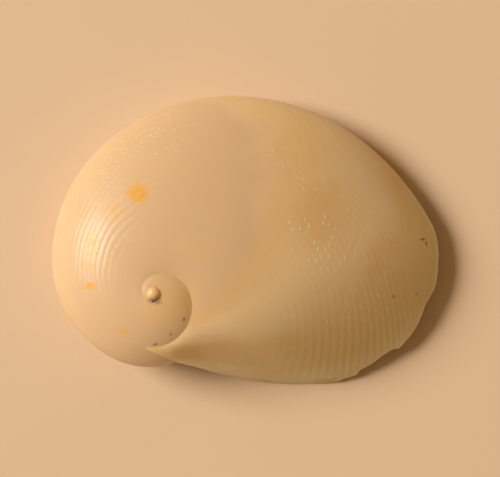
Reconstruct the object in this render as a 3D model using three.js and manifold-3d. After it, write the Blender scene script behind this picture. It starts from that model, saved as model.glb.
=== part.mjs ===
// Ear-shaped moon snail shell, lying on its opening: one thin wall that winds out of a tiny knob.
// Millimetres, Z up, resting on Z = 0. Angles turn clockwise seen from above, from +X.
import * as THREE from "three";
import { mergeVertices } from "three/addons/utils/BufferGeometryUtils.js";
import Module from "manifold-3d";

// Driving dimensions
const apexX = -2.995;
const apexY = -1.705;
const apexHeight = 3.62;
const knobRadius = 0.23;
const knobSquash = 0.8;
const knobCentreHeight = 3.57;
const wallThickness = 0.28;
const fullWallRadius = 2.2;
const lipShare = 0.5;
const lipTaperAngle = 40;
const baseEdgeShare = 0.75;
const sutureShare = 0.7;
const sutureSink = 0.07;
const sutureLines = 0.07;
const crownSlope = 0.13;
const crownAngle = 345;

// Growth stations: the widest line of the whorl and the inner edge of its base, by growth angle
const whorlStations = [
  { angle: -650, radius: 0.03, height: 3.6, curl: 0.02, foot: 3.58 },
  { angle: -286, radius: 0.23, height: 3.52, curl: 0.18, foot: 3.3 },
  { angle: -200, radius: 0.42, height: 3.48, curl: 0.36, foot: 3.1 },
  { angle: -120, radius: 0.7, height: 3.43, curl: 0.62, foot: 2.8 },
  { angle: -60, radius: 1.02, height: 3.36, curl: 0.92, foot: 2.4 },
  { angle: 0, radius: 1.58, height: 3.2, curl: 1.35, foot: 1.6 },
  { angle: 40, radius: 2.02, height: 2.7, curl: 1.3, foot: 0.75 },
  { angle: 74, radius: 2.36, height: 2.1, curl: 1.05, foot: 0.16 },
  { angle: 110, radius: 2.52, height: 1.84, curl: 1.25, foot: -0.05 },
  { angle: 145, radius: 2.75, height: 1.74, curl: 1.4, foot: -0.07 },
  { angle: 180, radius: 3.27, height: 1.66, curl: 1.5, foot: -0.07 },
  { angle: 215, radius: 4.02, height: 1.54, curl: 1.5, foot: -0.07 },
  { angle: 250, radius: 5.2, height: 1.34, curl: 1.3, foot: -0.07 },
  { angle: 285, radius: 6.72, height: 1.1, curl: 0.95, foot: -0.06 },
  { angle: 315, radius: 8.12, height: 0.92, curl: 0.6, foot: 0.2 },
  { angle: 342, radius: 9.28, height: 0.74, curl: 0.36, foot: 0.5 },
  { angle: 390, radius: 11.6, height: 0.7, curl: 0.3, foot: 0.5 },
  { angle: 470, radius: 16, height: 0.7, curl: 0.3, foot: 0.5 },
];

// The outer lip, from where it leaves the widest line round to the suture
const lipStations = [
  { angle: 336, radius: 9.03, height: 0.77 },
  { angle: 342, radius: 9.28, height: 0.74 },
  { angle: 347, radius: 9.46, height: 0.72 },
  { angle: 352, radius: 9.51, height: 0.71 },
  { angle: 356, radius: 9.43, height: 0.7 },
  { angle: 361, radius: 9.19, height: 0.69 },
  { angle: 368, radius: 8.72, height: 0.65 },
  { angle: 376, radius: 7.95, height: 0.5 },
  { angle: 385, radius: 7, height: 0.18 },
  { angle: 392, radius: 5.9, height: -0.02 },
  { angle: 400, radius: 4.76, height: 0.05 },
  { angle: 410, radius: 3.66, height: 0.5 },
  { angle: 420, radius: 2.92, height: 1.16 },
  { angle: 428, radius: 2.56, height: 1.72 },
  { angle: 434, radius: 2.36, height: 2.2 },
  { angle: 450, radius: 1.95, height: 2.95 },
  { angle: 464, radius: 1.7, height: 3.25 },
];

// How full the whorl's upper side is: round at the widest line, straighter towards the lip
const fullnessStations = [
  { angle: -650, power: 2.1, root: 0.55 },
  { angle: 250, power: 2.1, root: 0.55 },
  { angle: 315, power: 2.1, root: 0.62 },
  { angle: 348, power: 1.9, root: 0.8 },
  { angle: 375, power: 1.75, root: 0.98 },
  { angle: 410, power: 1.85, root: 0.94 },
  { angle: 434, power: 2.1, root: 0.7 },
  { angle: 470, power: 2.1, root: 0.6 },
];

// Growth angles where the wall's stretches begin and end
const turn = 360;
const knobAngle = -286;
const knobBlend = 120;
const filledAngle = -90;
const hollowAngle = -20;
const bodyAngle = 104;
const lipAngle = 342;
const lipEndAngle = 463;

// Mesh counts and small steps
const topSteps = 17;
const baseSteps = 6;
const bodySteps = 50;
const innerSteps = 34;
const knobAcross = 18;
const knobDown = 10;
const searchSteps = 40;
const slopeStep = 0.02;
const mergeDistance = 1e-5;
const groundSize = 40;

const quarter = Math.PI / 2;
const radians = (degrees) => THREE.MathUtils.degToRad(degrees);

// One column of a station list at an angle, on a smooth curve through the stations
function along(stations, name, angle, scale = (value) => value) {
  let next = 1;
  while (next < stations.length - 1 && stations[next].angle < angle) {
    next += 1;
  }
  const at = (index) => stations[THREE.MathUtils.clamp(index, 0, stations.length - 1)];
  const slope = (index) => {
    const span = at(index + 1).angle - at(index - 1).angle;
    return (scale(at(index + 1)[name]) - scale(at(index - 1)[name])) / span;
  };
  const start = at(next - 1);
  const end = at(next);
  const span = end.angle - start.angle;
  const part = THREE.MathUtils.clamp((angle - start.angle) / span, 0, 1);
  const ease = part * part * (3 - 2 * part);
  const leave = part * (1 - part) * (1 - part) * span * slope(next - 1);
  const arrive = part * part * (part - 1) * span * slope(next);
  return scale(start[name]) * (1 - ease) + scale(end[name]) * ease + leave + arrive;
}

const whorlRadius = (angle) => Math.exp(along(whorlStations, "radius", angle, Math.log));
const sutureRadius = (angle) => sutureShare * whorlRadius(angle - turn);
const lipRadius = (angle) => along(lipStations, "radius", angle);

// Distance from the axis of a spiral line on the upper side: 0 at the suture, 1 at the widest line
function lineRadius(angle, line) {
  const inner = sutureRadius(angle);
  return inner + (whorlRadius(angle) - inner) * Math.sin(line * quarter);
}

// Height of the upper side at a growth angle and a distance from the axis
function topHeight(angle, radius) {
  if (angle < knobAngle) {
    return apexHeight;
  }
  const edge = angle < lipAngle ? whorlStations : lipStations;
  const reach = angle < lipAngle ? whorlRadius(angle) : lipRadius(angle);
  const inner = sutureRadius(angle);
  const innerHeight = topHeight(angle - turn, inner);
  const edgeHeight = along(edge, "height", angle);
  const part = THREE.MathUtils.clamp((radius - inner) / (reach - inner), 0, 1);
  const power = along(fullnessStations, "power", angle);
  const root = along(fullnessStations, "root", angle);
  const crown = crownSlope * Math.cos(radians(angle - crownAngle)) * (radius - inner) * (1 - part) ** 2;
  const height = edgeHeight + (innerHeight - edgeHeight) * (1 - part ** power) ** root + crown;
  const begun = THREE.MathUtils.smoothstep(angle, knobAngle, knobAngle + knobBlend);
  return THREE.MathUtils.lerp(apexHeight, height, begun);
}

// A point of the outer skin's section, as distance from the axis and height:
// lines 0 to 1 on the upper side, 1 to 2 round under the base
function skin(angle, line) {
  if (line <= 1) {
    const radius = lineRadius(angle, line);
    const size = Math.min(1, sutureRadius(angle));
    const sink = sutureSink * size * Math.max(0, 1 - line / sutureLines);
    return new THREE.Vector2(radius, topHeight(angle, radius) - sink);
  }
  const bend = (line - 1) * quarter;
  const edge = along(whorlStations, "height", angle);
  const foot = along(whorlStations, "foot", angle);
  const radius = whorlRadius(angle) - along(whorlStations, "curl", angle) * (1 - Math.cos(bend));
  return new THREE.Vector2(radius, edge - (edge - foot) * Math.sin(bend));
}

// The growth angle at which a spiral line meets the lip
function lineEnd(line) {
  if (line >= 1) {
    return lipAngle;
  }
  let low = lipAngle;
  let high = lipEndAngle;
  for (let step = 0; step < searchSteps; step += 1) {
    const middle = (low + high) / 2;
    if (lineRadius(middle, line) < lipRadius(middle)) {
      low = middle;
    } else {
      high = middle;
    }
  }
  return low;
}

// The wall's thickness: thin in the young whorls, at the lip and at the base's edge
function thickness(angle, line, end) {
  const size = Math.min(1, whorlRadius(angle) / fullWallRadius);
  const lip = THREE.MathUtils.smoothstep(end - angle, 0, lipTaperAngle);
  const base = THREE.MathUtils.clamp(line - 1, 0, 1);
  return wallThickness * size * (lipShare + (1 - lipShare) * lip) * (1 - (1 - baseEdgeShare) * base);
}

// The point of the inner skin behind a point of the outer one; the oldest whorl is filled up to the axis
function lining(angle, line, end) {
  const low = skin(angle, Math.max(0, line - slopeStep));
  const across = skin(angle, Math.min(2, line + slopeStep)).sub(low).normalize();
  const inward = new THREE.Vector2(across.y, -across.x);
  const point = skin(angle, line).addScaledVector(inward, thickness(angle, line, end));
  const axis = skin(angle, 0).lerp(skin(angle, 2), line / 2);
  return axis.lerp(point, THREE.MathUtils.smoothstep(angle, filledAngle, hollowAngle));
}

function place(angle, point) {
  const x = apexX + point.x * Math.cos(radians(angle));
  const y = apexY - point.x * Math.sin(radians(angle));
  return new THREE.Vector3(x, y, point.y);
}

const wasm = await Module();
wasm.setup();

function solidOf(vertProperties, triVerts) {
  return new wasm.Manifold(new wasm.Mesh({ numProp: 3, vertProperties, triVerts }));
}

// A closed three.js shape as a solid
function solidFrom(geometry) {
  geometry.deleteAttribute("normal");
  geometry.deleteAttribute("uv");
  const merged = mergeVertices(geometry, mergeDistance);
  return solidOf(merged.getAttribute("position").array, new Uint32Array(merged.index.array));
}

const lineCount = topSteps + baseSteps;
const lines = [];
for (let step = 0; step <= lineCount; step += 1) {
  lines.push(step <= topSteps ? step / topSteps : 1 + (step - topSteps) / baseSteps);
}
const lineEnds = lines.map(lineEnd);

// A stretch of wall between two growth angles, or up to the lip where no second one is given:
// each row runs out along the outer skin and back along the inner one
function wallStretch(from, to, steps) {
  const points = [];
  for (let step = 0; step <= steps; step += 1) {
    const angles = lineEnds.map((end) => from + (((to ?? end) - from) * step) / steps);
    const outer = lines.map((line, index) => place(angles[index], skin(angles[index], line)));
    const inner = lines.map((line, index) => place(angles[index], lining(angles[index], line, lineEnds[index])));
    points.push(...outer, ...inner.reverse());
  }
  const columns = 2 * (lineCount + 1);
  const triangles = [];
  for (let row = 0; row < steps; row += 1) {
    for (let column = 0; column < columns; column += 1) {
      const here = row * columns + column;
      const beside = row * columns + ((column + 1) % columns);
      triangles.push(here, here + columns, beside, beside, here + columns, beside + columns);
    }
  }
  const lastRow = steps * columns;
  for (let line = 0; line < lineCount; line += 1) {
    const back = columns - 1 - line;
    triangles.push(line, line + 1, back, line + 1, back - 1, back);
    triangles.push(lastRow + line, lastRow + back, lastRow + line + 1);
    triangles.push(lastRow + line + 1, lastRow + back, lastRow + back - 1);
  }
  const numbers = points.flatMap((point) => point.toArray());
  return solidOf(new Float32Array(numbers), new Uint32Array(triangles));
}

const body = wallStretch(bodyAngle, null, bodySteps);
const spire = wallStretch(knobAngle, bodyAngle, innerSteps);

const knob = new THREE.SphereGeometry(knobRadius, knobAcross, knobDown);
knob.scale(1, 1, knobSquash);
knob.translate(apexX, apexY, knobCentreHeight);

// What hangs below the resting plane is ground away, which leaves narrow flats on the base and the lip
const ground = new THREE.BoxGeometry(groundSize, groundSize, groundSize);
ground.translate(0, 0, -groundSize / 2);

const shell = body.add(spire).add(solidFrom(knob)).subtract(solidFrom(ground)).getMesh();
const geometry = new THREE.BufferGeometry();
geometry.setAttribute("position", new THREE.BufferAttribute(shell.vertProperties, shell.numProp));
geometry.setIndex(new THREE.BufferAttribute(shell.triVerts, 1));
geometry.computeVertexNormals();

const ivory = new THREE.MeshStandardMaterial({ color: 0xf0e2c8, roughness: 0.35, metalness: 0 });
const node = new THREE.Mesh(geometry, ivory);
node.name = "shell";

const group = new THREE.Group();
group.add(node);

export default group;
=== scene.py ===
"""Flat ear-shaped moon snail shell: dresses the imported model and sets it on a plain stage.

The shell is one wall worked out on a grid of growth angle and spiral line, in millimetres and degrees.
Growth angles turn clockwise seen from above, from +X, round an upright axis through the apex.
The script is laid out as an add-on and also runs as it stands.
"""

import math

import bmesh
import bpy
import numpy as np
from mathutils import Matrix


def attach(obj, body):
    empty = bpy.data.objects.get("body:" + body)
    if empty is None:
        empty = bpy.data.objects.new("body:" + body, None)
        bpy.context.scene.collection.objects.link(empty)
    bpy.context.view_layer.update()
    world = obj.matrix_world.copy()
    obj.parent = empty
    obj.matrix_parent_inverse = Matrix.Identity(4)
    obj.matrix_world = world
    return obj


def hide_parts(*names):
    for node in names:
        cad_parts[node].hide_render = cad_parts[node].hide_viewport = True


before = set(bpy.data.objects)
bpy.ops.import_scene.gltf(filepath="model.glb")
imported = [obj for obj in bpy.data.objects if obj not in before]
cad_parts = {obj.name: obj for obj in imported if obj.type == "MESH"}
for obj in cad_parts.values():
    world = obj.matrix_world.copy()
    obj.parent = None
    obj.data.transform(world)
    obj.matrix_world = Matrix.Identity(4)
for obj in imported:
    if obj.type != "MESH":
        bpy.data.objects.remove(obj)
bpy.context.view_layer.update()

bl_info = {
    "name": "Ear-shaped Moon Snail Shell",
    "version": (1, 0, 0),
    "blender": (4, 5, 0),
    "location": "View3D > Sidebar > Shell",
    "description": "Makes a flat ear-shaped moon snail shell and a plain stage for it",
    "category": "Add Mesh",
}

NODE_NAME = "shell"
BODY_NAME = "root"
MILLIMETRE = 0.001
TURN = 360.0
QUARTER = math.pi / 2
HUNDRED = 100.0

# The picture's frame in pixels, its scale, and the pixel over the middle of the shell's box
PICTURE_WIDTH = 500
PICTURE_HEIGHT = 477
PIXELS_PER_MM = 30.0
MIDDLE_X = 246.75
MIDDLE_Y = 241.0

# Growth stations: angle, radius and height of the widest line, how far the base curls in below it,
# and the height of the base's inner edge
RADIUS = 1
HEIGHT = 2
CURL = 3
FOOT = 4
WHORL = np.array([
    (-650, 0.03, 3.60, 0.02, 3.58),
    (-286, 0.23, 3.52, 0.18, 3.30),
    (-200, 0.42, 3.48, 0.36, 3.10),
    (-120, 0.70, 3.43, 0.62, 2.80),
    (-60, 1.02, 3.36, 0.92, 2.40),
    (0, 1.58, 3.20, 1.35, 1.60),
    (40, 2.02, 2.70, 1.30, 0.75),
    (74, 2.36, 2.10, 1.05, 0.16),
    (110, 2.52, 1.84, 1.25, -0.05),
    (145, 2.75, 1.74, 1.40, -0.07),
    (180, 3.27, 1.66, 1.50, -0.07),
    (215, 4.02, 1.54, 1.50, -0.07),
    (250, 5.20, 1.34, 1.30, -0.07),
    (285, 6.72, 1.10, 0.95, -0.06),
    (315, 8.12, 0.92, 0.60, 0.20),
    (342, 9.28, 0.74, 0.36, 0.50),
    (390, 11.60, 0.70, 0.30, 0.50),
    (470, 16.00, 0.70, 0.30, 0.50),
])

# The whole outer lip: angle, radius and height, from the widest line round to the suture
LIP = np.array([
    (336, 9.03, 0.77),
    (342, 9.28, 0.74),
    (347, 9.46, 0.72),
    (352, 9.51, 0.71),
    (356, 9.43, 0.70),
    (361, 9.19, 0.69),
    (368, 8.72, 0.65),
    (376, 7.95, 0.50),
    (385, 7.00, 0.18),
    (392, 5.90, -0.02),
    (400, 4.76, 0.05),
    (410, 3.66, 0.50),
    (420, 2.92, 1.16),
    (428, 2.56, 1.72),
    (434, 2.36, 2.20),
    (450, 1.95, 2.95),
    (464, 1.70, 3.25),
])

# The corners of the broken lip: angle, and how far the edge falls short of the whole lip there
BREAK_LOSS = 1
BREAKS = np.array([
    (344.0, 0.00),
    (348.5, -0.02),
    (354.5, 0.06),
    (358.8, 0.02),
    (362.8, 0.13),
    (368.3, 0.00),
    (373.0, -0.06),
    (373.8, 0.09),
    (376.0, 0.16),
    (378.0, 0.13),
    (381.2, 0.18),
    (382.4, 0.05),
    (385.0, 0.11),
    (386.6, 0.04),
    (390.0, 0.06),
    (394.0, 0.03),
    (399.0, 0.02),
    (405.0, 0.00),
])

# How full the upper side is: angle, power and root of its section
POWER = 1
ROOT = 2
FULLNESS = np.array([
    (-650, 2.10, 0.55),
    (250, 2.10, 0.55),
    (315, 2.10, 0.62),
    (348, 1.90, 0.80),
    (375, 1.75, 0.98),
    (410, 1.85, 0.94),
    (434, 2.10, 0.70),
    (470, 2.10, 0.60),
])

# Growth angles where the wall's stretches begin and end
KNOB_ANGLE = -286.0
KNOB_BLEND = 120.0
FILLED_ANGLE = -90.0
HOLLOW_ANGLE = -20.0
BODY_ANGLE = 104.0
LIP_ANGLE = 342.0
LIP_END_ANGLE = 463.0

# Shares and small sizes of the section
SUTURE_SHARE = 0.7
SUTURE_SINK = 0.02
SUTURE_LINES = 0.03
CROWN_SLOPE = 0.13
CROWN_ANGLE = 345.0
FULL_WALL_RADIUS = 2.2
LIP_SHARE = 0.5
LIP_TAPER_ANGLE = 40.0
BASE_EDGE_SHARE = 0.75
KNOB_SQUASH = 0.78
KNOB_SINK = 0.05
SKIN_INSET = 0.003

# The spire's tongue inside the body's wall: its reach in degrees, the shares of the wall between which
# it ends, the share of the lines that it covers, and how far its root lies inside the wall
TONGUE_ANGLE = 3.0
TONGUE_SHARES = (0.3, 0.7)
TONGUE_LINES = 0.97
TONGUE_ROOT = 0.0005

# The seam between spire and body: how near it a point belongs to it, in degrees, and the distance welded
SEAM_ANGLE = 0.05
SEAM_WELD = 0.002

# How plainly the threads show by growth angle, where new ones come between them and how many there are
# then for each old one, and the lines over which they fade at the suture and round the base
SHOW = 1
THREAD_SHOW = np.array([
    (-60, 0.00),
    (90, 0.28),
    (160, 0.30),
    (200, 0.48),
    (255, 0.60),
    (285, 0.35),
    (345, 0.14),
    (362, 0.24),
    (380, 0.75),
    (470, 0.80),
])
ADDED_ANGLES = (258.0, 320.0)
LIP_THREADS = 2.0
SUTURE_FADE = (0.05, 0.42)
BASE_FADE = (1.0, 1.4)
BASE_SHOW = 0.3

# How the threads waver: share of their spacing, turns by angle and turns by line
WAVERS = ((0.05, 5.3, 9.0), (0.04, 11.7, -17.0))

# Mesh counts
TOP_LINES = 240
BASE_LINES = 32
SPIRE_ROWS = 84
BODY_ROWS = 170
INNER_SHARE = 4
KNOB_AROUND = 48
KNOB_RINGS = 24
SEARCH_STEPS = 40
SLOPE_STEP = 0.02
EARLIER_TURNS = 4
SHARP_ANGLE = math.radians(55)
TINY = 1e-15

# Marks seen from above: x, y, half width and half height in millimetres, softness of the edge, strength
STAINS = (
    (-3.56, 1.57, 0.33, 0.30, 0.60, 0.90),
    (-3.40, 1.45, 0.22, 0.20, 0.60, 0.60),
    (-4.36, 0.93, 0.34, 0.26, 0.80, 0.32),
    (-5.06, -0.05, 0.20, 0.45, 0.70, 0.60),
    (-5.19, -0.70, 0.20, 0.30, 0.80, 0.35),
    (-5.09, -1.47, 0.22, 0.13, 0.50, 0.80),
    (-5.79, -2.57, 0.13, 0.15, 0.60, 0.50),
    (-3.99, -2.93, 0.16, 0.16, 0.70, 0.40),
    (-1.95, -2.00, 0.12, 0.40, 0.80, 0.30),
)
SPECKS_AND_KNOB_SHADE = (
    (-2.03, -2.53, 0.05, 0.06, 0.60, 0.55),
    (-2.49, -3.07, 0.06, 0.04, 0.60, 0.45),
    (-2.93, -3.37, 0.07, 0.04, 0.50, 0.60),
    (5.61, -1.80, 0.05, 0.05, 0.60, 0.50),
    (4.84, -1.80, 0.07, 0.05, 0.60, 0.40),
    (5.84, 0.03, 0.10, 0.04, 0.50, 0.70),
    (5.98, -0.10, 0.04, 0.08, 0.50, 0.55),
    # Painted shade: the dark crescent on the knob's lower side, turned from the lamp
    (-2.97, -1.90, 0.18, 0.11, 0.80, 0.50),
)
AMBER_CLOUDS_AND_SHADE = (
    (2.31, 0.97, 1.00, 1.20, 0.80, 0.70),
    (1.78, 3.03, 0.87, 1.53, 0.90, 0.55),
    (-2.36, -2.07, 0.85, 0.95, 0.60, 0.50),
    (-2.99, -1.70, 0.20, 0.20, 0.50, 0.75),
    # Painted shadow: the dark streak where the inner lip's shadow shows through the wall
    (-1.73, -0.37, 0.85, 0.26, 0.95, 0.20),
    (3.00, -3.50, 0.90, 0.40, 0.90, 0.55),
)
BEAD_ZONES = (
    (2.38, 0.53, 1.33, 1.67, 0.50, 1.00),
    (-3.56, 3.53, 1.60, 0.90, 0.60, 0.90),
    (-5.06, 1.20, 1.20, 2.80, 0.60, 0.80),
    (1.11, 3.03, 0.47, 1.00, 0.60, 0.80),
    (4.44, -1.30, 1.33, 1.33, 0.60, 0.50),
    (3.11, -1.97, 1.67, 1.33, 0.60, 0.45),
)

# Bands of equal age that are more amber: ages at which each starts, is full, fades and ends, and its strength
AMBER_BANDS = (
    (0.02, 0.09, 0.18, 0.30, 0.55),
    (0.40, 0.50, 0.60, 0.68, 0.35),
    (0.605, 0.62, 0.63, 0.645, 0.30),
)

# Noise in the finish: how fine the clouds, the wobble of the marks' edges and the growth lines are,
# how far the wobble reaches in metres, and the middle value of the noise
CLOUD_SCALE = 450.0
WOBBLE_SCALE = 1800.0
WOBBLE_REACH = 0.00035
GROWTH_BY_AGE = 40.0
GROWTH_BY_LINE = 3.0
GROWTH_DETAIL = 4.0
NOISE_MIDDLE = 0.5

# Ramps of the finish: the values between which each runs and, where there are four, what it gives at both
SUTURE_OLDER = (0.35, 0.10, 0.0, 0.14)
NEW_TO_OLD = (0.54, 0.76)
GROWTH_AMBER = (0.45, 0.75, 0.0, 0.20)
BEAD_LOT = (0.58, 0.90)
BEAD_EDGE = (0.30, 0.06)
ROUGH_CLOUDS = (0.3, 0.7)

# How far clouds shift the age, the beads' cells by age and their disorder, and the strength of the beads'
# painted glint colour
DRIFT_AGE = 0.20
BEADS_BY_AGE = 42.0
BEAD_DISORDER = 0.55
BEAD_GLINT_TINT = 0.7

# Relief, gloss and glow: share of the growth lines, strength and height in metres of the relief,
# how much smoother and rougher the clouds make the wall, and how far each colour spreads inside it
GROWTH_RELIEF = 0.2
RELIEF_STRENGTH = 0.6
RELIEF_HEIGHT = 0.00002
ROUGH_LESS = 0.05
ROUGH_MORE = 0.07
GLOW_RADIUS = (1.0, 0.85, 0.70)
GLOSS = 0.35
COAT = 0.08
COAT_ROUGHNESS = 0.2

# The floor's darker clouds, its corners, and how far it lies below the shell in millimetres
FLOOR_SHADE = 0.96
FLOOR_CLOUDS = 160.0
FLOOR_ROUGHNESS = 0.7
FLOOR_CORNERS = ((-1, -1), (1, -1), (1, 1), (-1, 1))
FLOOR_DROP = 0.02

# The camera: its sensor and the height of the shell's edge in millimetres, and how far it sees in metres
SENSOR_WIDTH = 36.0
EDGE_HEIGHT = 0.8
FAR_CLIP = 10.0


class ShellSizes(bpy.types.PropertyGroup):
    """Sizes of the shell that a user would change"""

    apex_x: bpy.props.FloatProperty(
        name="Apex X", description="Place of the apex along the shell",
        default=-0.002995, unit="LENGTH", precision=6)
    apex_y: bpy.props.FloatProperty(
        name="Apex Y", description="Place of the apex across the shell",
        default=-0.001705, unit="LENGTH", precision=6)
    apex_height: bpy.props.FloatProperty(
        name="Apex height", description="Height of the oldest turn",
        default=0.00362, unit="LENGTH", precision=6)
    wall: bpy.props.FloatProperty(
        name="Wall", description="Thickness of the full-grown wall",
        default=0.00028, unit="LENGTH", precision=6)
    knob: bpy.props.FloatProperty(
        name="Knob", description="Radius of the knob at the apex",
        default=0.00023, unit="LENGTH", precision=6)
    threads: bpy.props.IntProperty(
        name="Threads", description="Spiral threads on the older part; twice as many reach the lip",
        default=24)
    thread_height: bpy.props.FloatProperty(
        name="Thread height", description="Height of a thread at the lip",
        default=0.000012, unit="LENGTH", precision=6)
    chips: bpy.props.FloatProperty(
        name="Chips", description="Share of the full depth of the lip's breaks",
        default=1.0, subtype="FACTOR")


class ShellFinish(bpy.types.PropertyGroup):
    """Colours and gloss of the shell"""

    old_colour: bpy.props.FloatVectorProperty(
        name="Older growth", description="Colour of the thicker, older wall",
        subtype="COLOR", size=4, default=(0.75, 0.555, 0.35, 1.0))
    # Painted light: lighter than the older colour, standing in for light coming through the thin wall
    newer_and_through_light_colour: bpy.props.FloatVectorProperty(
        name="Newer growth", description="Colour of the thin wall near the lip",
        subtype="COLOR", size=4, default=(0.90, 0.695, 0.425, 1.0))
    # Also paints the inner lip's shadow seen through the wall
    amber_colour: bpy.props.FloatVectorProperty(
        name="Amber", description="Colour of the amber clouds and bands",
        subtype="COLOR", size=4, default=(0.80, 0.56, 0.25, 1.0))
    stain_colour: bpy.props.FloatVectorProperty(
        name="Stains", description="Colour of the orange stains",
        subtype="COLOR", size=4, default=(0.84, 0.47, 0.08, 1.0))
    # Also paints the shade on the knob's lower side
    speck_and_shade_colour: bpy.props.FloatVectorProperty(
        name="Specks", description="Colour of the dark specks",
        subtype="COLOR", size=4, default=(0.12, 0.07, 0.03, 1.0))
    # Painted highlight: the pale tint stands in for glints on the beads
    bead_glint_colour: bpy.props.FloatVectorProperty(
        name="Beads", description="Colour of the pale beads on the threads",
        subtype="COLOR", size=4, default=(0.97, 0.89, 0.74, 1.0))
    roughness: bpy.props.FloatProperty(
        name="Roughness", description="Roughness of the polished wall", default=0.36, subtype="FACTOR")
    glow: bpy.props.FloatProperty(
        name="Glow", description="Share of the light that spreads under the surface",
        default=1.0, subtype="FACTOR")
    glow_depth: bpy.props.FloatProperty(
        name="Glow depth", description="How far light spreads inside the wall",
        default=0.0003, unit="LENGTH", precision=6)


class StageLook(bpy.types.PropertyGroup):
    """The plain floor, the light and the camera"""

    floor_colour: bpy.props.FloatVectorProperty(
        name="Floor", description="Colour of the pale floor",
        subtype="COLOR", size=4, default=(0.80, 0.62, 0.44, 1.0))
    floor_size: bpy.props.FloatProperty(
        name="Floor size", description="Side of the floor", default=1.2, unit="LENGTH")
    light_colour: bpy.props.FloatVectorProperty(
        name="Light", description="Colour of the soft key light",
        subtype="COLOR", size=3, default=(1.0, 0.91, 0.79))
    light_power: bpy.props.FloatProperty(
        name="Light power", description="Power of the soft key light in watts", default=3.9)
    light_size: bpy.props.FloatProperty(
        name="Light size", description="Width of the soft key light", default=0.3, unit="LENGTH")
    light_distance: bpy.props.FloatProperty(
        name="Light distance", description="Distance of the key light from the shell",
        default=0.6, unit="LENGTH")
    light_turn: bpy.props.FloatProperty(
        name="Light turn", description="Direction the key light comes from",
        default=math.radians(163), subtype="ANGLE")
    light_rise: bpy.props.FloatProperty(
        name="Light rise", description="Height of the key light above the floor",
        default=math.radians(39), subtype="ANGLE")
    fill_colour: bpy.props.FloatVectorProperty(
        name="Fill", description="Colour of the even light from all round",
        subtype="COLOR", size=4, default=(1.0, 0.61, 0.28, 1.0))
    fill_strength: bpy.props.FloatProperty(
        name="Fill strength", description="Strength of the even light from all round", default=0.26)
    lens: bpy.props.FloatProperty(
        name="Lens", description="Focal length of the camera in millimetres", default=200.0)


def through(stations, column, angle, scale=None):
    """Value of one station column at each angle.

    A cubic joins two stations. Its slope at a station is the rise between the station's two neighbours
    over their distance.
    """
    places = stations[:, 0]
    values = stations[:, column] if scale is None else scale(stations[:, column])
    last = len(places) - 1
    count = np.arange(last + 1)
    ahead = np.minimum(count + 1, last)
    behind = np.maximum(count - 1, 0)
    slopes = (values[ahead] - values[behind]) / (places[ahead] - places[behind])
    end = np.clip(np.searchsorted(places, angle), 1, last)
    start = end - 1
    span = places[end] - places[start]
    part = np.clip((angle - places[start]) / span, 0, 1)
    ease = part * part * (3 - 2 * part)
    leave = part * (1 - part) ** 2 * span * slopes[start]
    arrive = part ** 2 * (part - 1) * span * slopes[end]
    return values[start] * (1 - ease) + values[end] * ease + leave + arrive


def smooth(limits, value):
    """Smooth step: 0 below the first limit, 1 above the second, three squares less two cubes between them."""
    part = np.clip((value - limits[0]) / (limits[1] - limits[0]), 0, 1)
    return part * part * (3 - 2 * part)


def whorl_radius(angle):
    """Radius of the widest line: the exponential of a smooth curve through the stations' logarithms."""
    return np.exp(through(WHORL, RADIUS, angle, np.log))


def suture_radius(angle):
    """Radius of the suture: a fixed share of the widest line one turn earlier."""
    return SUTURE_SHARE * whorl_radius(angle - TURN)


def lip_radius(angle, chips):
    """Radius of the lip's edge: the whole lip less a share of the breaks, straight between their corners."""
    return through(LIP, RADIUS, angle) - chips * np.interp(angle, BREAKS[:, 0], BREAKS[:, BREAK_LOSS])


def line_radius(angle, line):
    """Distance of a spiral line from the axis: from the suture at 0 to the widest line at 1, as a sine."""
    inner = suture_radius(angle)
    return inner + (whorl_radius(angle) - inner) * np.sin(np.minimum(line, 1) * QUARTER)


def top_height(angle, radius, apex_height, turns=EARLIER_TURNS):
    """Height of the upper side.

    From the suture to the edge it falls between the two heights, as a root of one less a power
    of the distance.
    A low crown lifts it towards the lip. The suture has the height of the turn before, at the same place.
    All of it grows out of a level start at the knob.
    """
    if turns == 0:
        return np.full_like(radius, apex_height)
    grown = angle >= LIP_ANGLE
    inner = suture_radius(angle)
    inner_height = top_height(angle - TURN, inner, apex_height, turns - 1)
    reach = np.where(grown, through(LIP, RADIUS, angle), whorl_radius(angle))
    edge = np.where(grown, through(LIP, HEIGHT, angle), through(WHORL, HEIGHT, angle))
    part = np.clip((radius - inner) / (reach - inner), 0, 1)
    fall = (1 - part ** through(FULLNESS, POWER, angle)) ** through(FULLNESS, ROOT, angle)
    crown = CROWN_SLOPE * np.cos(np.radians(angle - CROWN_ANGLE)) * (radius - inner) * (1 - part) ** 2
    begun = smooth((KNOB_ANGLE, KNOB_ANGLE + KNOB_BLEND), angle)
    return apex_height + (edge + (inner_height - edge) * fall + crown - apex_height) * begun


def skin(angle, line, apex_height):
    """Section of the outer skin as distance from the axis and height.

    Lines 0 to 1 run over the upper side, 1 to 2 round a quarter of an ellipse under the base.
    """
    top_radius = line_radius(angle, line)
    sink = SUTURE_SINK * np.minimum(1, suture_radius(angle)) * np.maximum(0, 1 - line / SUTURE_LINES)
    top = top_height(angle, top_radius, apex_height) - sink
    bend = np.clip(line - 1, 0, 1) * QUARTER
    edge = through(WHORL, HEIGHT, angle)
    base_radius = whorl_radius(angle) - through(WHORL, CURL, angle) * (1 - np.cos(bend))
    base = edge - (edge - through(WHORL, FOOT, angle)) * np.sin(bend)
    return np.where(line <= 1, top_radius, base_radius), np.where(line <= 1, top, base)


def line_ends(line, chips):
    """Growth angle at which each spiral line meets the lip, found by halving the range it lies in."""
    low = np.full_like(line, LIP_ANGLE)
    high = np.full_like(line, LIP_END_ANGLE)
    for _ in range(SEARCH_STEPS):
        middle = (low + high) / 2
        within = line_radius(middle, line) < lip_radius(middle, chips)
        low = np.where(within, middle, low)
        high = np.where(within, high, middle)
    return np.where(line >= 1, LIP_ANGLE, low)


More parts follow.
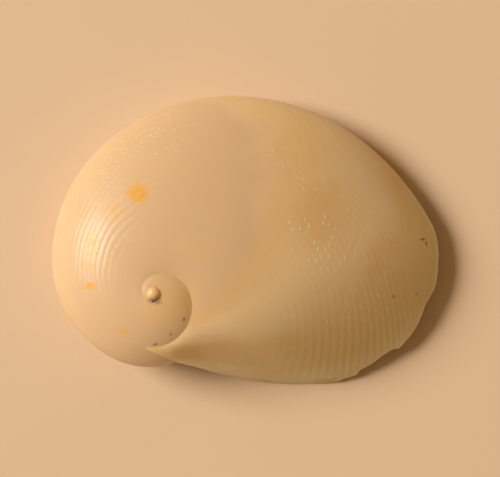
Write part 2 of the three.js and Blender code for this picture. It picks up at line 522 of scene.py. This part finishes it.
def lining(angle, line, end, wall, apex_height):
    """Section of the inner skin: the outer one moved in at right angles by the wall's thickness.

    The wall thins in the young turns, at the lip and at the base's edge.
    The oldest turn is filled up to the axis.
    """
    radius, height = skin(angle, line, apex_height)
    low_radius, low_height = skin(angle, np.maximum(line - SLOPE_STEP, 0), apex_height)
    high_radius, high_height = skin(angle, np.minimum(line + SLOPE_STEP, 2), apex_height)
    out = high_radius - low_radius
    up = high_height - low_height
    length = np.hypot(out, up)
    size = np.minimum(1, whorl_radius(angle) / FULL_WALL_RADIUS)
    at_lip = LIP_SHARE + (1 - LIP_SHARE) * smooth((0, LIP_TAPER_ANGLE), end - angle)
    at_base = 1 - (1 - BASE_EDGE_SHARE) * np.clip(line - 1, 0, 1)
    thickness = wall * size * at_lip * at_base
    first_radius, first_height = skin(angle, np.zeros_like(line), apex_height)
    last_radius, last_height = skin(angle, np.full_like(line, 2), apex_height)
    axis_radius = first_radius + (last_radius - first_radius) * line / 2
    axis_height = first_height + (last_height - first_height) * line / 2
    hollow = smooth((FILLED_ANGLE, HOLLOW_ANGLE), angle)
    inner_radius = axis_radius + (radius + thickness * up / length - axis_radius) * hollow
    inner_height = axis_height + (height - thickness * out / length - axis_height) * hollow
    return inner_radius, inner_height


def place(angle, section, sizes):
    """Points in metres of a section, turned round the axis and kept above the floor."""
    radius, height = section
    turned = np.radians(angle)
    x = sizes.apex_x + radius * np.cos(turned) * MILLIMETRE
    y = sizes.apex_y - radius * np.sin(turned) * MILLIMETRE
    z = np.maximum(height, 0) * MILLIMETRE
    return np.stack([x, y, z], axis=-1)


def thread_depth(angle, line, sizes):
    """Depth below the threads' crests, in metres.

    It is one less the size of a sine across the lines, twice as fast where new threads have come in between.
    The threads waver slowly and fade out on the knob, at the suture and round the base.
    """
    phase = line * sizes.threads
    for share, by_angle, by_line in WAVERS:
        phase = phase + share * np.sin(np.radians(angle) * by_angle + line * by_line)
    added = smooth(ADDED_ANGLES, angle)
    crest = np.abs(np.sin(phase * math.pi)) * (1 - added)
    crest = crest + np.abs(np.sin(phase * LIP_THREADS * math.pi)) * added
    shown = np.maximum(through(THREAD_SHOW, SHOW, angle), 0) * smooth(SUTURE_FADE, line)
    shown = shown * (1 - (1 - BASE_SHOW) * smooth(BASE_FADE, line))
    return sizes.thread_height * (1 - crest) * shown + SKIN_INSET * MILLIMETRE


def grid_quads(rows, columns, first, turned):
    """Corner numbers of the quads between neighbouring rows and columns of a grid of points."""
    row, column = np.meshgrid(np.arange(rows - 1), np.arange(columns - 1), indexing="ij")
    here = first + row * columns + column
    along = here + columns
    corners = [here, along, along + 1, here + 1]
    if turned:
        corners = corners[::-1]
    return np.stack(corners, axis=-1).reshape(-1, 4)


def edge_quads(outer, inner):
    """Quads of a strip between two equally long rows of point numbers."""
    return np.stack([outer[:-1], outer[1:], inner[1:], inner[:-1]], axis=-1)


def rim_triangles(outer, inner, turned):
    """Triangles between a fine row of points and a coarse one that skips some of its steps."""
    near = inner[:-1]
    far = inner[1:]
    start = outer[:-1].reshape(-1, INNER_SHARE)
    finish = outer[1:].reshape(-1, INNER_SHARE)
    half = INNER_SHARE // 2
    fans = [np.stack([start[:, half], near, far], axis=-1)]
    for step in range(INNER_SHARE):
        fans.append(np.stack([start[:, step], near if step < half else far, finish[:, step]], axis=-1))
    triangles = np.concatenate(fans)
    return triangles[:, ::-1] if turned else triangles


def wall_stretch(outer, inner):
    """A closed stretch of the wall between two sections: both skins, their edges and the two cut faces."""
    rows, columns = outer.shape[:2]
    inner_columns = inner.shape[1]
    first_inner = rows * columns
    outer_number = np.arange(first_inner).reshape(rows, columns)
    inner_number = first_inner + np.arange(rows * inner_columns).reshape(rows, inner_columns)
    quads = np.concatenate([
        grid_quads(rows, columns, 0, False),
        grid_quads(rows, inner_columns, first_inner, True),
        edge_quads(inner_number[:, 0], outer_number[:, 0]),
        edge_quads(outer_number[:, -1], inner_number[:, -1]),
    ])
    triangles = np.concatenate([
        rim_triangles(outer_number[-1], inner_number[-1], False),
        rim_triangles(outer_number[0], inner_number[0], True),
    ])
    return np.concatenate([outer.reshape(-1, 3), inner.reshape(-1, 3)]), quads, triangles


def knob_ball(sizes):
    """The knob: a squashed ball round the apex, by the angle from its pole and the angle round it."""
    down, around = np.meshgrid(
        np.linspace(0, math.pi, KNOB_RINGS + 1)[1:-1],
        np.linspace(0, 2 * math.pi, KNOB_AROUND, endpoint=False), indexing="ij")
    ball = np.stack([np.sin(down) * np.cos(around), np.sin(down) * np.sin(around), np.cos(down)], axis=-1)
    points = np.concatenate([ball.reshape(-1, 3), [(0, 0, 1), (0, 0, -1)]])
    middle = (sizes.apex_x, sizes.apex_y, sizes.apex_height - KNOB_SINK * MILLIMETRE)
    points = points * (1, 1, KNOB_SQUASH) * sizes.knob + middle
    rings = KNOB_RINGS - 1
    number = np.arange(rings * KNOB_AROUND).reshape(rings, KNOB_AROUND)
    beside = np.roll(number, -1, axis=1)
    quads = np.stack([number[:-1], number[1:], beside[1:], beside[:-1]], axis=-1).reshape(-1, 4)
    top = np.full(KNOB_AROUND, rings * KNOB_AROUND)
    top_cap = np.stack([top, number[0], beside[0]], axis=-1)
    bottom_cap = np.stack([top + 1, beside[-1], number[-1]], axis=-1)
    return points, quads, np.concatenate([top_cap, bottom_cap])


def mesh_from(name, points, quads, triangles, marks=None):
    """A mesh with named marks on its points, smooth but for its sharp edges."""
    mesh = bpy.data.meshes.new(name)
    corners = np.concatenate([quads.ravel(), triangles.ravel()]).astype(np.int32)
    counts = np.concatenate([np.full(len(quads), 4), np.full(len(triangles), 3)])
    starts = np.concatenate([[0], np.cumsum(counts)[:-1]]).astype(np.int32)
    mesh.vertices.add(len(points))
    mesh.vertices.foreach_set("co", points.astype(np.float32).ravel())
    mesh.loops.add(len(corners))
    mesh.loops.foreach_set("vertex_index", corners)
    mesh.polygons.add(len(counts))
    mesh.polygons.foreach_set("loop_start", starts)
    mesh.polygons.foreach_set("use_smooth", np.ones(len(counts), dtype=bool))
    mesh.update(calc_edges=True)
    if mesh.validate():
        raise RuntimeError(f"{name} has faces that are not valid")
    mesh.set_sharp_from_angle(angle=SHARP_ANGLE)
    for mark, values in (marks or {}).items():
        mesh.attributes.new(mark, "FLOAT", "POINT").data.foreach_set("value", values.astype(np.float32))
    return mesh


def tongue(lines, ends, sizes):
    """One more row of both skins for the spire, inside the body's wall, so that the two overlap."""
    row = 1 + (lines - 1) * TONGUE_LINES
    angle = np.full_like(lines, BODY_ANGLE + TONGUE_ANGLE)
    skins = []
    for share, skip in zip(TONGUE_SHARES, (1, INNER_SHARE)):
        wall = share * sizes.wall / MILLIMETRE
        apex_height = sizes.apex_height / MILLIMETRE
        section = lining(angle[::skip], row[::skip], ends[::skip], wall, apex_height)
        skins.append(place(angle[::skip], section, sizes)[None])
    return skins


def shell_stretches(sizes):
    """The closed meshes that make up the shell: its body, its spire and its knob.

    Rows run along the growth and columns across the spiral lines. The inner skin skips most of the lines.
    Each point is marked with its line and with its age, the growth from it to the whole lip
    in hundreds of degrees.
    """
    apex_height = sizes.apex_height / MILLIMETRE
    lines = np.concatenate([np.linspace(0, 1, TOP_LINES + 1), np.linspace(1, 2, BASE_LINES + 1)[1:]])
    ends = line_ends(lines, sizes.chips)
    young = np.linspace(KNOB_ANGLE, BODY_ANGLE, SPIRE_ROWS, endpoint=False)
    part = np.linspace(0, 1, BODY_ROWS + 1)
    angle = np.concatenate([
        np.repeat(young[:, None], len(lines), axis=1), BODY_ANGLE + (ends - BODY_ANGLE) * part[:, None]])
    line = np.broadcast_to(lines, angle.shape)
    end = np.broadcast_to(ends, angle.shape)
    age = (line_ends(lines, 0) - angle) / HUNDRED

    outer = place(angle, skin(angle, line, apex_height), sizes)
    inward = np.cross(np.gradient(outer, axis=1), np.gradient(outer, axis=0))
    inward = inward / np.maximum(np.linalg.norm(inward, axis=-1, keepdims=True), TINY)
    outer = outer + inward * thread_depth(angle, line, sizes)[..., None]
    outer[..., 2] = np.maximum(outer[..., 2], 0)

    every = slice(None, None, INNER_SHARE)
    section = lining(angle[:, every], line[:, every], end[:, every], sizes.wall / MILLIMETRE, apex_height)
    inner = place(angle[:, every], section, sizes)

    body = (outer[SPIRE_ROWS:], inner[SPIRE_ROWS:], age[SPIRE_ROWS:], line[SPIRE_ROWS:])
    seam = slice(None, SPIRE_ROWS + 1)
    tongue_outer, tongue_inner = tongue(lines, ends, sizes)
    spire_outer = np.concatenate([outer[seam], tongue_outer])
    spire_inner = np.concatenate([inner[seam], tongue_inner])
    root = inward[SPIRE_ROWS] * TONGUE_ROOT * MILLIMETRE
    spire_outer[SPIRE_ROWS] += root
    spire_inner[SPIRE_ROWS] -= root[every]
    spire = (spire_outer, spire_inner, age[:SPIRE_ROWS + 2], line[:SPIRE_ROWS + 2])

    meshes = []
    for name, stretch in (("body", body), ("spire", spire)):
        stretch_outer, stretch_inner, ages, of_line = stretch
        marks = {
            "growth_age": np.concatenate([ages.ravel(), ages[:, every].ravel()]),
            "spiral_line": np.concatenate([of_line.ravel(), of_line[:, every].ravel()]),
        }
        meshes.append(mesh_from(name, *wall_stretch(stretch_outer, stretch_inner), marks))
    ball, quads, triangles = knob_ball(sizes)
    marks = {"growth_age": np.full(len(ball), age.max()), "spiral_line": np.zeros(len(ball))}
    meshes.append(mesh_from("knob", ball, quads, triangles, marks))
    return meshes


def joined(context, name, meshes):
    """One closed mesh with the outside of several closed meshes that overlap or touch."""
    solids = []
    for mesh in meshes:
        solid = bpy.data.objects.new(mesh.name, mesh)
        context.scene.collection.objects.link(solid)
        solids.append(solid)
    for other in solids[1:]:
        join = solids[0].modifiers.new("join", "BOOLEAN")
        join.operation = "UNION"
        join.solver = "MANIFOLD"
        join.object = other
    graph = context.evaluated_depsgraph_get()
    whole = bpy.data.meshes.new_from_object(solids[0].evaluated_get(graph), depsgraph=graph)
    whole.name = name
    whole.materials.clear()
    for solid in solids:
        bpy.data.objects.remove(solid)
    for mesh in meshes:
        bpy.data.meshes.remove(mesh)
    return whole


def read_marks(mesh, name):
    """One number for each point of a mesh, read from a named mark."""
    values = np.zeros(len(mesh.vertices), dtype=np.float32)
    mesh.attributes[name].data.foreach_get("value", values)
    return values


def around_axis(mesh, sizes):
    """Each point's angle round the shell's axis, from 0 to a full turn, and its distance from the axis."""
    places = np.zeros(len(mesh.vertices) * 3, dtype=np.float32)
    mesh.vertices.foreach_get("co", places)
    x = (places[0::3] - sizes.apex_x) / MILLIMETRE
    y = (places[1::3] - sizes.apex_y) / MILLIMETRE
    return np.degrees(np.arctan2(-y, x)) % TURN, np.hypot(x, y)


def loose_points(mesh):
    """Numbers of the points that aren't linked to the mesh's largest part.

    Each point takes the lowest number among its neighbours until nothing changes,
    so each part ends with one number.
    """
    edges = np.zeros(len(mesh.edges) * 2, dtype=np.int32)
    mesh.edges.foreach_get("vertices", edges)
    one = edges[0::2]
    other = edges[1::2]
    number = np.arange(len(mesh.vertices))
    changed = True
    while changed:
        lowest = number.copy()
        np.minimum.at(lowest, one, number[other])
        np.minimum.at(lowest, other, number[one])
        lowest = lowest[lowest]
        changed = bool((lowest != number).any())
        number = lowest
    parts, counts = np.unique(number, return_counts=True)
    return np.flatnonzero(number != parts[counts.argmax()])


def mark_added(mesh, sizes):
    """Gives the points that the joining added, which have no marks, a line and an age.

    Those along the suture get line 0 and the age of the nearest turn of the suture.
    Those in the seam between the spire and the body get the line at their distance from the axis.
    """
    ages = read_marks(mesh, "growth_age")
    lines = read_marks(mesh, "spiral_line")
    added = (ages == 0) & (lines == 0)
    angle, radius = around_axis(mesh, sizes)
    turns = np.stack([angle - TURN, angle, angle + TURN])
    nearest = np.abs(suture_radius(turns) - radius).argmin(axis=0)
    turned = np.take_along_axis(turns, nearest[None], axis=0)[0]
    inner = suture_radius(angle)
    part = np.clip((radius - inner) / (whorl_radius(angle) - inner), 0, 1)
    line = np.arcsin(part) / QUARTER
    in_seam = np.abs(angle - BODY_ANGLE) < SEAM_ANGLE
    ages[added] = ((LIP_END_ANGLE - turned) / HUNDRED)[added]
    ages[added & in_seam] = ((line_ends(line, 0) - angle) / HUNDRED)[added & in_seam]
    lines[added & in_seam] = line[added & in_seam]
    mesh.attributes["growth_age"].data.foreach_set("value", ages)
    mesh.attributes["spiral_line"].data.foreach_set("value", lines)


def mend(mesh, sizes):
    """Takes away loose splinters, and welds the hair-thin step in the seam between the spire and the body."""
    angle, _ = around_axis(mesh, sizes)
    work = bmesh.new()
    work.from_mesh(mesh)
    work.verts.ensure_lookup_table()
    seam = [work.verts[index] for index in np.flatnonzero(np.abs(angle - BODY_ANGLE) < SEAM_ANGLE)]
    loose = [work.verts[index] for index in loose_points(mesh)]
    bmesh.ops.delete(work, geom=loose, context="VERTS")
    left = [point for point in seam if point.is_valid]
    bmesh.ops.remove_doubles(work, verts=left, dist=SEAM_WELD * MILLIMETRE)
    work.to_mesh(mesh)
    work.free()
    mesh.set_sharp_from_angle(angle=SHARP_ANGLE)


def feed(tree, socket, value):
    """Gives an input a value, or links another node's output to it."""
    if isinstance(value, bpy.types.NodeSocket):
        tree.links.new(value, socket)
    else:
        socket.default_value = value


def add_node(tree, kind, inputs=None, **settings):
    """A node with its settings and inputs; an input is a value or another node's output."""
    made = tree.nodes.new(kind)
    for name, value in settings.items():
        setattr(made, name, value)
    for name, value in (inputs or {}).items():
        feed(tree, made.inputs[name], value)
    return made


def combine(tree, operation, first, second):
    """One step of arithmetic on two values."""
    return add_node(tree, "ShaderNodeMath", {0: first, 1: second}, operation=operation).outputs[0]


def move(tree, operation, first, second):
    """One step of arithmetic on two vectors, or on a vector and a scale."""
    inputs = {0: first, "Scale" if operation == "SCALE" else 1: second}
    return add_node(tree, "ShaderNodeVectorMath", inputs, operation=operation).outputs[0]


def ramp(tree, value, low, high, start=0.0, finish=1.0):
    """A smooth ramp of a value: start at low, finish at high."""
    inputs = {"Value": value, "From Min": low, "From Max": high, "To Min": start, "To Max": finish}
    return add_node(tree, "ShaderNodeMapRange", inputs, interpolation_type="SMOOTHSTEP").outputs["Result"]


def noise(tree, place_socket, scale, output="Fac", detail=3.0):
    """Cloudy noise at a scale."""
    inputs = {"Vector": place_socket, "Scale": scale, "Detail": detail}
    return add_node(tree, "ShaderNodeTexNoise", inputs).outputs[output]


def tint(tree, share, colour, other):
    """One colour laid over another by a share."""
    made = add_node(tree, "ShaderNodeMix", data_type="RGBA")
    colours = [socket for socket in made.inputs if socket.type == "RGBA"]
    for socket, value in zip([made.inputs["Factor"]] + colours, (share, colour, other)):
        feed(tree, socket, value)
    return next(socket for socket in made.outputs if socket.type == "RGBA")


def spot_group():
    """Node group: a soft spot, 1 within its reach and fading over its edge, round a place on the shell."""
    group = bpy.data.node_groups.new("soft_spot", "ShaderNodeTree")
    for name in ("Position", "Centre", "Reach"):
        group.interface.new_socket(name, in_out="INPUT", socket_type="NodeSocketVector")
    group.interface.new_socket("Edge", in_out="INPUT", socket_type="NodeSocketFloat")
    group.interface.new_socket("Mask", in_out="OUTPUT", socket_type="NodeSocketFloat")
    into = group.nodes.new("NodeGroupInput").outputs
    out = group.nodes.new("NodeGroupOutput").inputs
    share = move(group, "DIVIDE", move(group, "SUBTRACT", into["Position"], into["Centre"]), into["Reach"])
    length = add_node(group, "ShaderNodeVectorMath", {0: share}, operation="LENGTH").outputs["Value"]
    outside = combine(group, "ADD", 1.0, into["Edge"])
    within = combine(group, "SUBTRACT", 1.0, into["Edge"])
    group.links.new(ramp(group, length, outside, within), out["Mask"])
    return group


def on_shell(x, y, sizes):
    """The point of the upper side at a place seen from above, in metres."""
    out = x - sizes.apex_x / MILLIMETRE
    across = y - sizes.apex_y / MILLIMETRE
    radius = np.array(math.hypot(out, across))
    angle = np.array(math.degrees(math.atan2(-across, out)))
    angle = np.where(angle < BODY_ANGLE, angle + TURN, angle)
    angle = np.where(radius < suture_radius(angle), angle - TURN, angle)
    return place(angle, (radius, top_height(angle, radius, sizes.apex_height / MILLIMETRE)), sizes)


def spread_spots(tree, group, position, spots, sizes):
    """The strongest of a list of soft spots at each place."""
    total = 0.0
    for x, y, half_width, half_height, edge, strength in spots:
        reach = np.array((half_width, half_height, max(half_width, half_height))) * MILLIMETRE
        inputs = {"Position": position, "Centre": on_shell(x, y, sizes), "Reach": reach, "Edge": edge}
        spot = add_node(tree, "ShaderNodeGroup", inputs, node_tree=group)
        total = combine(tree, "MAXIMUM", combine(tree, "MULTIPLY", spot.outputs["Mask"], strength), total)
    return total


def growth_place(tree, age, line, by_age, by_line):
    """A place in a pattern that runs with the growth, by age and line, each with its own scale."""
    inputs = {"X": combine(tree, "MULTIPLY", age, by_age), "Y": combine(tree, "MULTIPLY", line, by_line)}
    return add_node(tree, "ShaderNodeCombineXYZ", inputs).outputs[0]


def shell_material(sizes, finish):
    """The shell's finish: glowing ivory with amber bands and clouds, stains, specks and beads, some of it
    painted light and shade.
    """
    material = bpy.data.materials.new("shell_ivory")
    material.use_nodes = True
    tree = material.node_tree
    shader = tree.nodes["Principled BSDF"]
    group = spot_group()
    position = add_node(tree, "ShaderNodeTexCoord").outputs["Object"]
    age = add_node(tree, "ShaderNodeAttribute", attribute_name="growth_age").outputs["Fac"]
    line = add_node(tree, "ShaderNodeAttribute", attribute_name="spiral_line").outputs["Fac"]
    cloud = noise(tree, position, CLOUD_SCALE)
    stretched = growth_place(tree, age, line, GROWTH_BY_AGE, GROWTH_BY_LINE)
    growth_lines = noise(tree, stretched, 1.0, detail=GROWTH_DETAIL)
    shaken = move(tree, "SUBTRACT", noise(tree, position, WOBBLE_SCALE, "Color"), [NOISE_MIDDLE] * 3)
    wobbled = move(tree, "ADD", position, move(tree, "SCALE", shaken, WOBBLE_REACH))

    # Older wall against newer; beside the suture the older colour reaches further towards the lip
    # The newer wall's lighter colour is painted light, for the light that comes through its thin wall
    drift = combine(tree, "MULTIPLY", combine(tree, "SUBTRACT", cloud, NOISE_MIDDLE), DRIFT_AGE)
    wandering_age = combine(tree, "ADD", age, drift)
    by_suture = ramp(tree, line, *SUTURE_OLDER)
    set_age = combine(tree, "ADD", wandering_age, by_suture)
    colour = tint(tree, ramp(tree, set_age, *NEW_TO_OLD), finish.newer_and_through_light_colour, finish.old_colour)

    # Amber bands and clouds, fainter growth lines, and a painted shadow of the inner lip seen through the
    # wall
    amber = spread_spots(tree, group, wobbled, AMBER_CLOUDS_AND_SHADE, sizes)
    for start, full, fade, end, strength in AMBER_BANDS:
        rising = ramp(tree, wandering_age, start, full)
        falling = ramp(tree, wandering_age, end, fade)
        band = combine(tree, "MULTIPLY", rising, falling)
        amber = combine(tree, "MAXIMUM", amber, combine(tree, "MULTIPLY", band, strength))
    amber = combine(tree, "ADD", amber, ramp(tree, growth_lines, *GROWTH_AMBER))
    colour = tint(tree, amber, colour, finish.amber_colour)

    # Stains, and specks with the painted shade on the knob's lower side
    colour = tint(tree, spread_spots(tree, group, wobbled, STAINS, sizes), colour, finish.stain_colour)
    colour = tint(tree, spread_spots(tree, group, wobbled, SPECKS_AND_KNOB_SHADE, sizes), colour, finish.speck_and_shade_colour)

    # Beads: some cells of a pattern with one row of cells for each thread at the lip
    bead_place = growth_place(tree, age, line, BEADS_BY_AGE, sizes.threads * LIP_THREADS)
    cells = add_node(tree, "ShaderNodeTexVoronoi", {
        "Vector": bead_place, "Scale": 1.0, "Randomness": BEAD_DISORDER}, voronoi_dimensions="2D").outputs
    lot = add_node(tree, "ShaderNodeSeparateColor", {"Color": cells["Color"]}).outputs["Red"]
    drawn = ramp(tree, lot, *BEAD_LOT)
    chosen = combine(tree, "MULTIPLY", drawn, spread_spots(tree, group, position, BEAD_ZONES, sizes))
    beads = combine(tree, "MULTIPLY", ramp(tree, cells["Distance"], *BEAD_EDGE), chosen)
    # Painted highlight: the beads' pale tint stands in for their glints; their relief goes to the bump
    colour = tint(tree, combine(tree, "MULTIPLY", beads, BEAD_GLINT_TINT), colour, finish.bead_glint_colour)

    # Relief too fine for the mesh
    relief = combine(tree, "ADD", combine(tree, "MULTIPLY", growth_lines, GROWTH_RELIEF), beads)
    bump = add_node(tree, "ShaderNodeBump", {
        "Height": relief, "Strength": RELIEF_STRENGTH, "Distance": RELIEF_HEIGHT})
    rough = ramp(tree, cloud, *ROUGH_CLOUDS, finish.roughness - ROUGH_LESS, finish.roughness + ROUGH_MORE)
    settings = {
        "Base Color": colour,
        "Normal": bump.outputs["Normal"],
        "Roughness": rough,
        "Subsurface Weight": finish.glow,
        "Subsurface Radius": GLOW_RADIUS,
        "Subsurface Scale": finish.glow_depth,
        "Specular IOR Level": GLOSS,
        "Coat Weight": COAT,
        "Coat Roughness": COAT_ROUGHNESS,
    }
    for name, value in settings.items():
        feed(tree, shader.inputs[name], value)
    return material


def floor_material(look):
    """A matt pale floor with faint clouds."""
    material = bpy.data.materials.new("pale_floor")
    material.use_nodes = True
    tree = material.node_tree
    shader = tree.nodes["Principled BSDF"]
    position = add_node(tree, "ShaderNodeTexCoord").outputs["Object"]
    darker = [value * FLOOR_SHADE for value in look.floor_colour[:3]] + [1.0]
    colour = tint(tree, noise(tree, position, FLOOR_CLOUDS), look.floor_colour, darker)
    feed(tree, shader.inputs["Base Color"], colour)
    feed(tree, shader.inputs["Roughness"], FLOOR_ROUGHNESS)
    return material


def add_lights(scene, look):
    """A soft key light on the spire's side, and even light from all round."""
    lamp = bpy.data.lights.new("key", "AREA")
    lamp.shape = "DISK"
    lamp.size = look.light_size
    lamp.energy = look.light_power
    lamp.color = look.light_colour
    key = bpy.data.objects.new("key", lamp)
    flat = look.light_distance * math.cos(look.light_rise)
    rise = look.light_distance * math.sin(look.light_rise)
    key.location = (flat * math.cos(look.light_turn), flat * math.sin(look.light_turn), rise)
    key.rotation_euler = (QUARTER - look.light_rise, 0, look.light_turn + QUARTER)
    scene.collection.objects.link(key)
    world = bpy.data.worlds.new("fill")
    world.use_nodes = True
    sky = world.node_tree.nodes["Background"]
    sky.inputs["Color"].default_value = look.fill_colour
    sky.inputs["Strength"].default_value = look.fill_strength
    scene.world = world


def add_camera(scene, look):
    """A camera straight above, whose frame is the picture's at the height of the shell's edge."""
    camera = bpy.data.cameras.new("above")
    camera.lens = look.lens
    camera.sensor_width = SENSOR_WIDTH
    camera.clip_start = MILLIMETRE
    camera.clip_end = FAR_CLIP
    pixel = MILLIMETRE / PIXELS_PER_MM
    distance = PICTURE_WIDTH * pixel * camera.lens / camera.sensor_width
    above = bpy.data.objects.new("above", camera)
    x = (PICTURE_WIDTH / 2 - MIDDLE_X) * pixel
    y = (MIDDLE_Y - PICTURE_HEIGHT / 2) * pixel
    above.location = (x, y, distance + EDGE_HEIGHT * MILLIMETRE)
    scene.collection.objects.link(above)
    scene.camera = above


class SHELL_OT_make_shell(bpy.types.Operator):
    """Make the shell: its wall, threads, broken lip and finish"""

    bl_idname = "moon_shell.make_shell"
    bl_label = "Make shell"

    def execute(self, context):
        sizes = context.scene.shell_sizes
        mesh = joined(context, "moon_shell", shell_stretches(sizes))
        mark_added(mesh, sizes)
        mend(mesh, sizes)
        mesh.materials.append(shell_material(sizes, context.scene.shell_finish))
        piece = bpy.data.objects.new("moon_shell", mesh)
        context.scene.collection.objects.link(piece)
        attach(piece, BODY_NAME)
        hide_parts(NODE_NAME)
        return {"FINISHED"}


class SHELL_OT_make_stage(bpy.types.Operator):
    """Make the plain floor, the soft light and the camera above the shell"""

    bl_idname = "moon_shell.make_stage"
    bl_label = "Make stage"

    def execute(self, context):
        scene = context.scene
        look = scene.stage_look
        half = look.floor_size / 2
        below = -FLOOR_DROP * MILLIMETRE
        corners = np.array([(x * half, y * half, below) for x, y in FLOOR_CORNERS])
        mesh = mesh_from("floor", corners, np.array([(0, 1, 2, 3)]), np.zeros((0, 3), dtype=int))
        mesh.materials.append(floor_material(look))
        floor = bpy.data.objects.new("floor", mesh)
        scene.collection.objects.link(floor)
        add_lights(scene, look)
        add_camera(scene, look)
        scene.view_settings.view_transform = "Standard"
        return {"FINISHED"}


class SHELL_PT_panel(bpy.types.Panel):
    """Lists the shell's sizes, its finish and the stage"""

    bl_label = "Ear-shaped Moon Snail Shell"
    bl_space_type = "VIEW_3D"
    bl_region_type = "UI"
    bl_category = "Shell"

    def draw(self, context):
        for group in (context.scene.shell_sizes, context.scene.shell_finish, context.scene.stage_look):
            box = self.layout.box()
            for name in group.__annotations__:
                box.prop(group, name)
        self.layout.operator(SHELL_OT_make_shell.bl_idname)
        self.layout.operator(SHELL_OT_make_stage.bl_idname)


CLASSES = (ShellSizes, ShellFinish, StageLook, SHELL_OT_make_shell, SHELL_OT_make_stage, SHELL_PT_panel)


def register():
    """Register the classes and give the scene their settings."""
    for kind in CLASSES:
        bpy.utils.register_class(kind)
    bpy.types.Scene.shell_sizes = bpy.props.PointerProperty(type=ShellSizes)
    bpy.types.Scene.shell_finish = bpy.props.PointerProperty(type=ShellFinish)
    bpy.types.Scene.stage_look = bpy.props.PointerProperty(type=StageLook)


def unregister():
    """Take the settings and the classes away again."""
    del bpy.types.Scene.shell_sizes
    del bpy.types.Scene.shell_finish
    del bpy.types.Scene.stage_look
    for kind in reversed(CLASSES):
        bpy.utils.unregister_class(kind)


def main():
    """Register the classes, then make every piece."""
    register()
    bpy.ops.moon_shell.make_shell()
    bpy.ops.moon_shell.make_stage()


if __name__ == "__main__":
    main()
